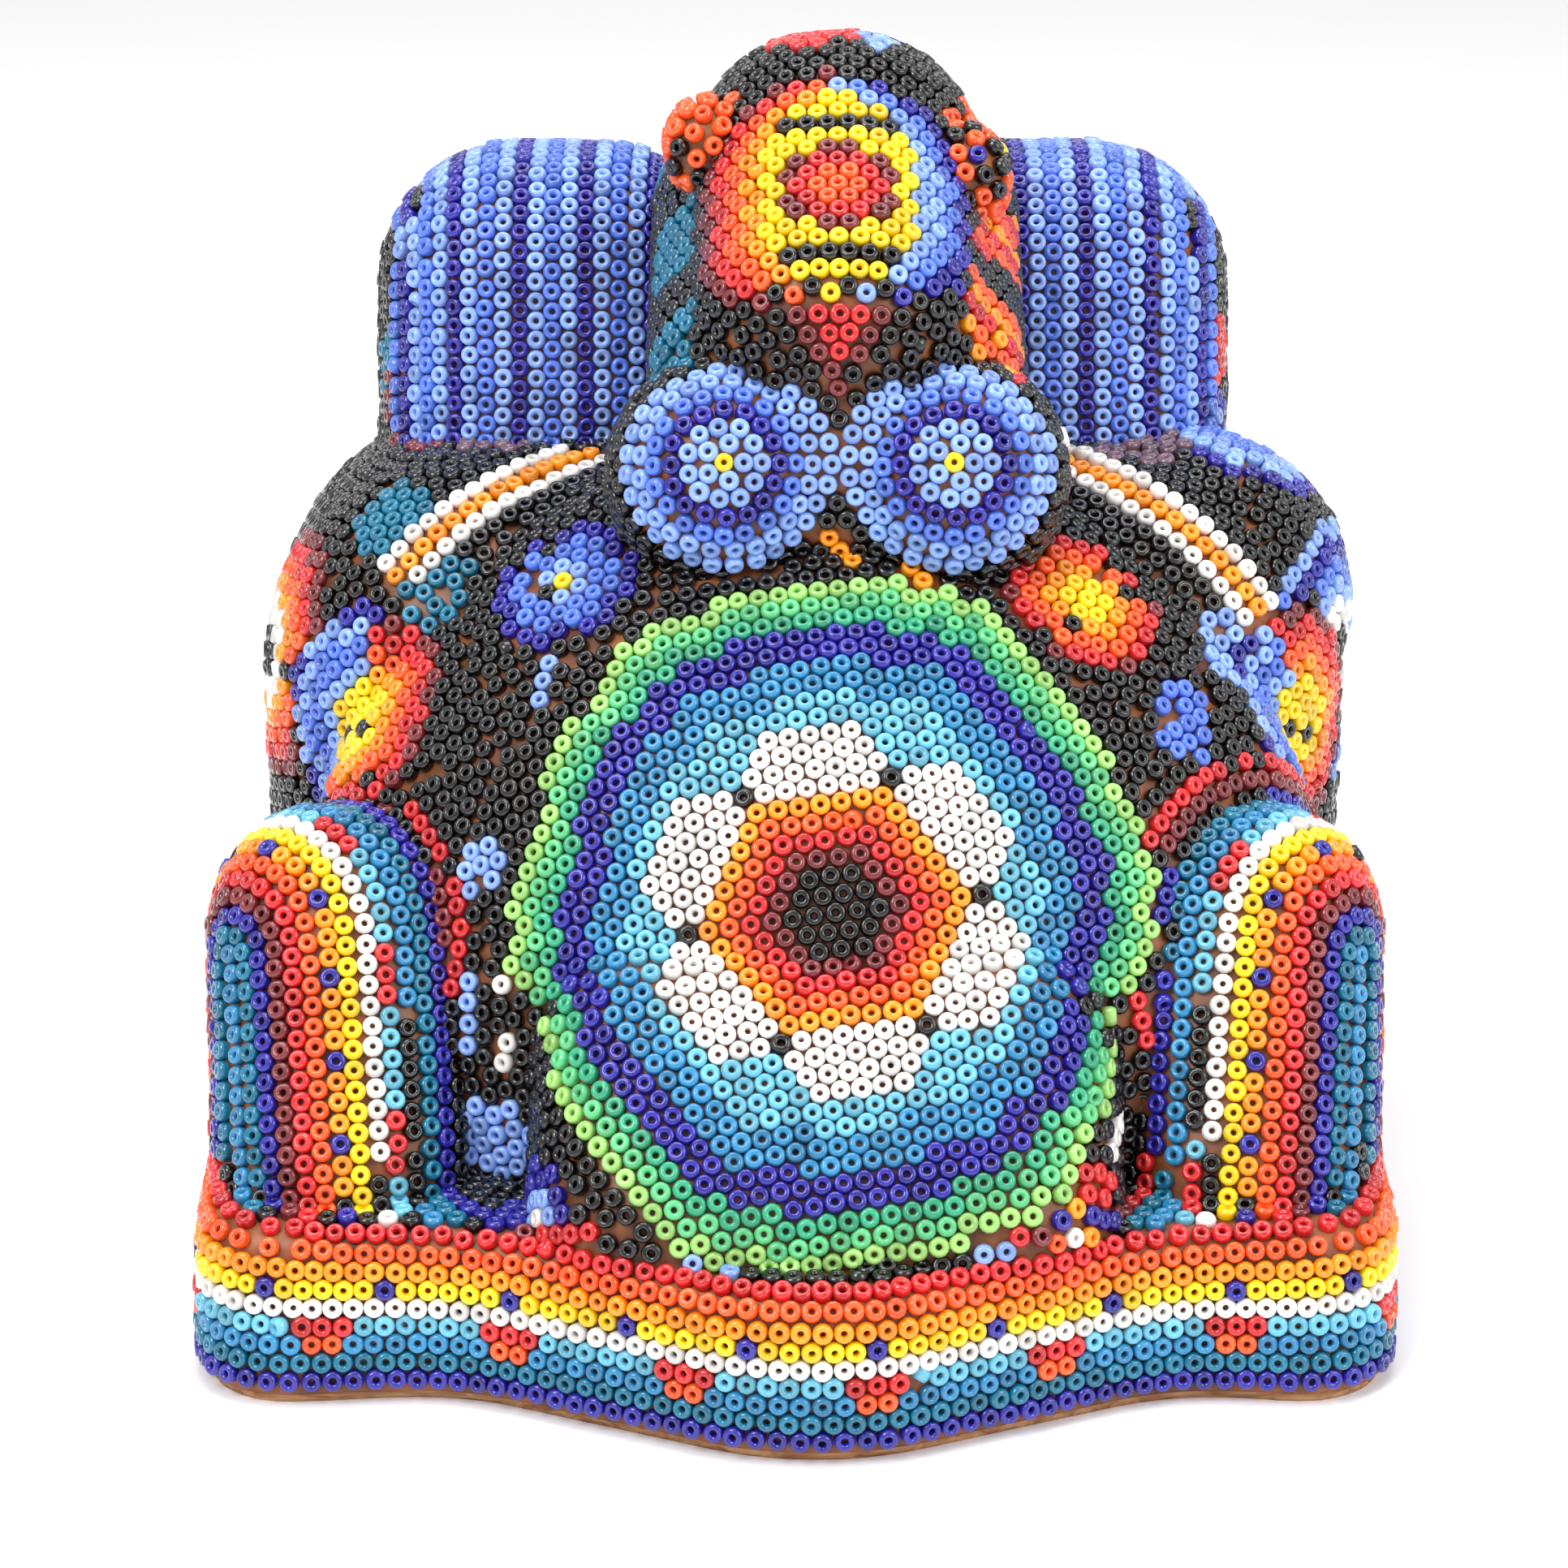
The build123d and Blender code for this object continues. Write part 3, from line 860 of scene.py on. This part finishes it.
def glass_material(name, colour):
    """Opaque glazed glass: each bead a little lighter or darker, with faint wax film."""
    mat, nodes, links, shader = material("bead_" + name)
    geometry = nodes.new("ShaderNodeNewGeometry")
    ramp = nodes.new("ShaderNodeValToRGB")
    dark = tuple(c * 0.72 for c in colour)
    light = tuple(min(1.0, c * 1.18 + 0.006) for c in colour)
    ramp.color_ramp.elements[0].color = (*dark, 1)
    ramp.color_ramp.elements[1].color = (*light, 1)
    middle_stop = ramp.color_ramp.elements.new(0.45)
    middle_stop.color = (*colour, 1)
    links.new(geometry.outputs["Random Per Island"], ramp.inputs["Fac"])
    film = nodes.new("ShaderNodeTexNoise")
    film.inputs["Scale"].default_value = 900
    film.inputs["Detail"].default_value = 3
    coordinate = nodes.new("ShaderNodeTexCoord")
    links.new(coordinate.outputs["Object"], film.inputs["Vector"])
    rough = nodes.new("ShaderNodeMapRange")
    rough.inputs["From Min"].default_value = 0.35
    rough.inputs["From Max"].default_value = 0.75
    rough.inputs["To Min"].default_value = 0.10
    rough.inputs["To Max"].default_value = 0.30
    links.new(film.outputs["Fac"], rough.inputs["Value"])
    links.new(ramp.outputs["Color"], shader.inputs["Base Color"])
    links.new(rough.outputs["Result"], shader.inputs["Roughness"])
    shader.inputs["Specular IOR Level"].default_value = 0.55
    shader.inputs["IOR"].default_value = 1.52
    shader.inputs["Coat Weight"].default_value = 0.35
    shader.inputs["Coat Roughness"].default_value = 0.06
    return mat


def wax_material():
    mat, nodes, links, shader = material("beeswax")
    coordinate = nodes.new("ShaderNodeTexCoord")
    noise = nodes.new("ShaderNodeTexNoise")
    noise.inputs["Scale"].default_value = 260
    noise.inputs["Detail"].default_value = 6
    ramp = nodes.new("ShaderNodeValToRGB")
    # The noise mottling is the wax's own; both wax colours are darkened to a shaded brown, painted shade
    # for the deep gaps between the beads.
    ramp.color_ramp.elements[0].position = 0.3
    ramp.color_ramp.elements[0].color = (*linear(70, 36, 16), 1)
    ramp.color_ramp.elements[1].position = 0.75
    ramp.color_ramp.elements[1].color = (*linear(168, 96, 48), 1)
    bump = nodes.new("ShaderNodeBump")
    bump.inputs["Strength"].default_value = 0.35
    bump.inputs["Distance"].default_value = 0.0004
    links.new(coordinate.outputs["Object"], noise.inputs["Vector"])
    links.new(noise.outputs["Fac"], ramp.inputs["Fac"])
    links.new(ramp.outputs["Color"], shader.inputs["Base Color"])
    links.new(noise.outputs["Fac"], bump.inputs["Height"])
    links.new(bump.outputs["Normal"], shader.inputs["Normal"])
    shader.inputs["Roughness"].default_value = 0.42
    return mat


def wood_material():
    mat, nodes, links, shader = material("carved_wood")
    coordinate = nodes.new("ShaderNodeTexCoord")
    stretch = nodes.new("ShaderNodeMapping")
    stretch.inputs["Scale"].default_value = (40, 340, 340)
    grain = nodes.new("ShaderNodeTexNoise")
    grain.inputs["Scale"].default_value = 4
    grain.inputs["Detail"].default_value = 8
    grain.inputs["Distortion"].default_value = 0.8
    ramp = nodes.new("ShaderNodeValToRGB")
    ramp.color_ramp.elements[0].position = 0.32
    ramp.color_ramp.elements[0].color = (*linear(138, 88, 52), 1)
    ramp.color_ramp.elements[1].position = 0.70
    ramp.color_ramp.elements[1].color = (*linear(205, 158, 112), 1)
    bump = nodes.new("ShaderNodeBump")
    bump.inputs["Strength"].default_value = 0.4
    bump.inputs["Distance"].default_value = 0.0003
    links.new(coordinate.outputs["Object"], stretch.inputs["Vector"])
    links.new(stretch.outputs["Vector"], grain.inputs["Vector"])
    links.new(grain.outputs["Fac"], ramp.inputs["Fac"])
    links.new(ramp.outputs["Color"], shader.inputs["Base Color"])
    links.new(grain.outputs["Fac"], bump.inputs["Height"])
    links.new(bump.outputs["Normal"], shader.inputs["Normal"])
    shader.inputs["Roughness"].default_value = 0.68
    return mat


# ------------------------------------------------------------------ the pieces


def piece(name, mesh, mat, slot, *nodes):
    mesh.materials.append(mat)
    obj = bpy.data.objects.new(name, mesh)
    bpy.context.scene.collection.objects.link(obj)
    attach(obj, "root")
    if nodes:
        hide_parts(*nodes)
    return obj


for mesh in (wood_mesh, wax_mesh):
    mesh.polygons.foreach_set("use_smooth", np.ones(len(mesh.polygons), bool))
piece("carved_wood", wood_mesh, wood_material(), "carved_wood", "wood_core")
piece("wax_skin", wax_mesh, wax_material(), "beeswax", "wax_coat")

SLOTS = {"mauve": "beads_maroon", "leaf": "beads_leaf_green"}
MOST_BEADS = 800                # beads in one piece
groups = {}
for n, (colour, field) in enumerate(zip(work.colours, work.fields)):
    kind = field if not field.startswith("base_row") else "base"
    groups.setdefault((kind, colour), []).append(n)

materials = {name: glass_material(name, colour) for name, colour in COLOURS.items()}
for (kind, colour), numbers in sorted(groups.items()):
    numbers.sort(key=lambda n: (round(work.points[n][1] / 12), work.points[n][2]))
    parts = max(1, math.ceil(len(numbers) / MOST_BEADS))
    for part in range(parts):
        chosen = numbers[part * len(numbers) // parts:(part + 1) * len(numbers) // parts]
        name = f"{kind}_{colour}_beads" + (f"_{part + 1}" if parts > 1 else "")
        slot = SLOTS.get(colour, "beads_" + colour)
        piece(name, bead_mesh(name, chosen), materials[colour], slot)

STANDS_FOR = (("mandala_", "mandala"), ("rosette_", "rosette"), ("base_", "base"),
              ("foreleg_", "foreleg"), ("haunch_", "haunch"), ("bridge_", "head"),
              ("nose_", "nose"), ("flower_", "flower"), ("sun_", "sun"), ("collar_", "collar"),
              ("chest_side_suns", "side_sun"), ("flank_eyes", "flank_eye"))
covered = {}
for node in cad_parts:
    if node not in ("wood_core", "wax_coat"):
        kind = next((k for start, k in STANDS_FOR if node.startswith(start)), "ground")
        covered.setdefault(kind, []).append(node)
for kind, nodes in covered.items():
    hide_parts(*nodes)

# ------------------------------------------------------------------ floor, light, camera


def look_at(obj, eye, target_point):
    obj.location = eye
    obj.rotation_euler = (Vector(target_point) - Vector(eye)).to_track_quat("-Z", "Y").to_euler()


floor_mesh = bpy.data.meshes.new("floor")
floor_mesh.from_pydata([(-3, -3, 0), (3, -3, 0), (3, 3, 0), (-3, 3, 0)], [], [(0, 1, 2, 3)])
floor = bpy.data.objects.new("floor", floor_mesh)
bpy.context.scene.collection.objects.link(floor)
floor_mat, _, _, floor_shader = material("pale_floor")
floor_shader.inputs["Base Color"].default_value = (0.93, 0.93, 0.94, 1)
floor_shader.inputs["Roughness"].default_value = 0.55
floor_mesh.materials.append(floor_mat)

world = bpy.data.worlds.new("studio")
world.use_nodes = True
world.node_tree.nodes["Background"].inputs["Color"].default_value = (1, 1, 1, 1)
world.node_tree.nodes["Background"].inputs["Strength"].default_value = 0.75
bpy.context.scene.world = world
bpy.context.scene.view_settings.view_transform = "Standard"


def softbox(name, eye, size, watts):
    light = bpy.data.lights.new(name, "AREA")
    light.shape, light.size, light.energy = "SQUARE", size, watts
    obj = bpy.data.objects.new(name, light)
    bpy.context.scene.collection.objects.link(obj)
    look_at(obj, eye, (0, 0, 0.06))


softbox("key", (-0.45, -0.45, 0.75), 0.45, 5.0)
softbox("fill", (0.60, -0.40, 0.50), 0.50, 3.0)
softbox("top", (0.0, 0.15, 0.90), 0.60, 4.0)

CAMERA_LIFT, CAMERA_FAR = 20.0, 400.0   # degrees above the level, millimetres away
CAMERA_LENS, CAMERA_SENSOR = 91.1553, 36.0
lift = math.radians(CAMERA_LIFT)
forward = Vector((0, math.cos(lift), -math.sin(lift)))
aim = Vector(((cad_low.x + cad_high.x) / 2 - 1.2, (cad_low.y + cad_high.y) / 2 - 33.0,
              cad_low.z + 59.2))
camera_data = bpy.data.cameras.new("camera")
camera_data.sensor_width = CAMERA_SENSOR
camera_data.lens = CAMERA_LENS
camera = bpy.data.objects.new("camera", camera_data)
bpy.context.scene.collection.objects.link(camera)
look_at(camera, (aim - forward * CAMERA_FAR) * MM, aim * MM)
bpy.context.scene.camera = camera
